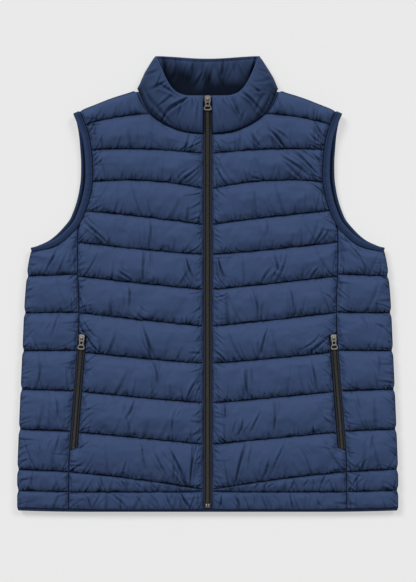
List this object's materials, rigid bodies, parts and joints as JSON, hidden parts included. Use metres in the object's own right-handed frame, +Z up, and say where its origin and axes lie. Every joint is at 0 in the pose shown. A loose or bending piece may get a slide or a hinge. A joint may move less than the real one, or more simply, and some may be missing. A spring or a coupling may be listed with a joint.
{
  "type": "puffer vest",
  "caption": "Sleeveless quilted puffer vest with a stand collar, full front zip and slanted side pocket zips, closed and laid flat on its back.",
  "frame": {"origin": "middle of the flat underside of the back, at the centre of the vest's length and width", "axes": "+X to the wearer's left, +Y from the hem to the neck, +Z up from the surface to the front of the vest"},
  "size_m": [0.5908, 0.7066, 0.0307],
  "materials": {
    "shell_fabric": "fine matt navy nylon, quilted over padding",
    "binding_fabric": "navy stretch binding, matt",
    "zip_tape": "charcoal woven zip tape",
    "zip_coil": "black nylon coil",
    "zip_metal": "antique nickel, satin"
  },
  "bodies": {
    "vest": {"front_panel_left": "shell_fabric", "front_panel_right": "shell_fabric", "side_panel_left": "shell_fabric", "side_panel_right": "shell_fabric", "back_panel": "shell_fabric", "collar": "shell_fabric", "armhole_binding_left": "binding_fabric", "armhole_binding_right": "binding_fabric", "main_zip_tape_left": "zip_tape", "main_zip_tape_right": "zip_tape", "pocket_zip_left_tape_left": "zip_tape", "pocket_zip_left_tape_right": "zip_tape", "pocket_zip_right_tape_left": "zip_tape", "pocket_zip_right_tape_right": "zip_tape", "main_zip_coil_left": "zip_coil", "main_zip_coil_right": "zip_coil", "pocket_zip_left_coil_left": "zip_coil", "pocket_zip_left_coil_right": "zip_coil", "pocket_zip_right_coil_left": "zip_coil", "pocket_zip_right_coil_right": "zip_coil", "main_zip_slider": "zip_metal", "main_zip_box": "zip_metal", "pocket_zip_left_slider": "zip_metal", "pocket_zip_right_slider": "zip_metal"},
    "main_pull": {"main_zip_pull": "zip_metal"},
    "left_pocket_pull": {"pocket_zip_left_pull": "zip_metal"},
    "right_pocket_pull": {"pocket_zip_right_pull": "zip_metal"}
  },
  "joints": [
    {"name": "main_pull_hinge", "type": "hinge", "parent": "vest", "child": "main_pull", "pos_m": [0, 0.28555, 0.02778], "axis": [-1, 0, 0], "range_deg": [0, 170]},
    {"name": "left_pocket_pull_hinge", "type": "hinge", "parent": "vest", "child": "left_pocket_pull", "pos_m": [0.19492, -0.08338, 0.0203], "axis": [-0.997, -0.0774, 0], "range_deg": [0, 165]},
    {"name": "right_pocket_pull_hinge", "type": "hinge", "parent": "vest", "child": "right_pocket_pull", "pos_m": [-0.19492, -0.08338, 0.0203], "axis": [-0.997, 0.0774, 0], "range_deg": [0, 165]}
  ]
}
